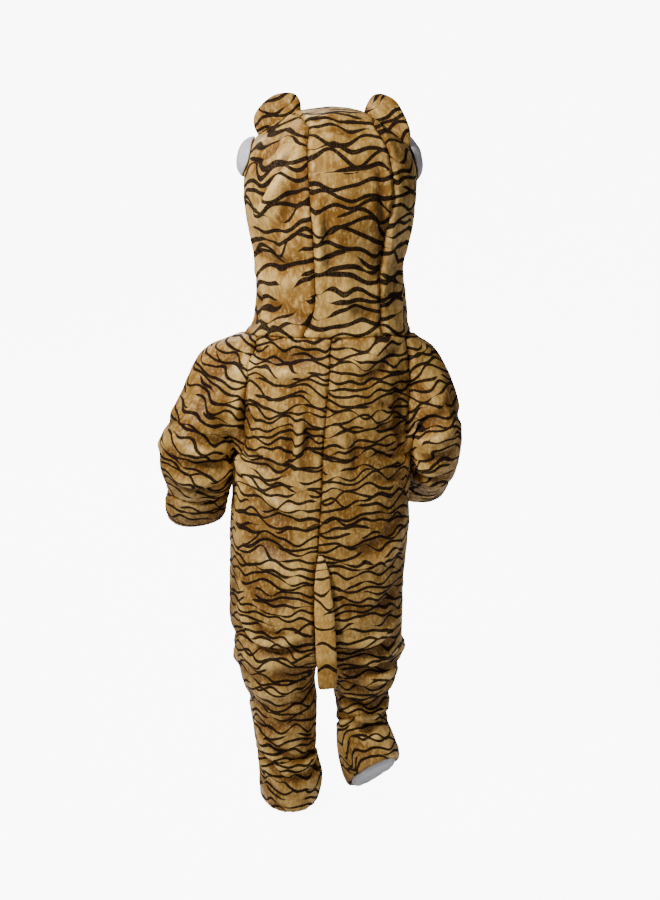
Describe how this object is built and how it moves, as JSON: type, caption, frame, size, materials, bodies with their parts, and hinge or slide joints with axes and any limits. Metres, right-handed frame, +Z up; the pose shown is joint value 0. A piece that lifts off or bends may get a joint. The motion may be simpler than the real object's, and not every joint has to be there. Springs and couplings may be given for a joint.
{
  "type": "tiger costume",
  "caption": "Hooded one-piece plush tiger costume for a small child, with ears, mitts, booties, a centre-front zip and a sewn-on tail, held in its worn shape.",
  "frame": {"origin": "midway between the shoulders at the base of the neck", "axes": "+Z up, -Y the wearer's front, +X the wearer's left"},
  "size_m": [0.437, 0.2562, 1.0625],
  "materials": {
    "tiger_plush": "short-pile plush with a soft sheen, golden tan with thin black-brown stripes",
    "white_plush": "short-pile white plush",
    "zip_tape": "woven tape",
    "zip_metal": "satin"
  },
  "bodies": {
    "costume": {"back_left": "tiger_plush", "back_right": "tiger_plush", "bootie_left": "tiger_plush", "bootie_right": "tiger_plush", "cheek_left": "white_plush", "cheek_right": "white_plush", "ear_left": "tiger_plush", "ear_right": "tiger_plush", "front_left": "tiger_plush", "front_right": "tiger_plush", "hood_left": "tiger_plush", "hood_right": "tiger_plush", "hood_strip": "tiger_plush", "mitt_back_left": "tiger_plush", "mitt_back_right": "tiger_plush", "mitt_palm_left": "tiger_plush", "mitt_palm_right": "tiger_plush", "sleeve_left": "tiger_plush", "sleeve_right": "tiger_plush", "sole_left": "white_plush", "sole_right": "white_plush", "tail": "tiger_plush", "zip_tape_left": "zip_tape", "zip_tape_right": "zip_tape", "zip_slider": "zip_metal"},
    "zip_pull": {"zip_pull": "zip_metal"}
  },
  "joints": [
    {"name": "zip_pull_hinge", "type": "hinge", "parent": "costume", "child": "zip_pull", "pos_m": [-0.00877, -0.0921, -0.03841], "axis": [-1, 0, 0], "range_deg": [0, 140]}
  ]
}
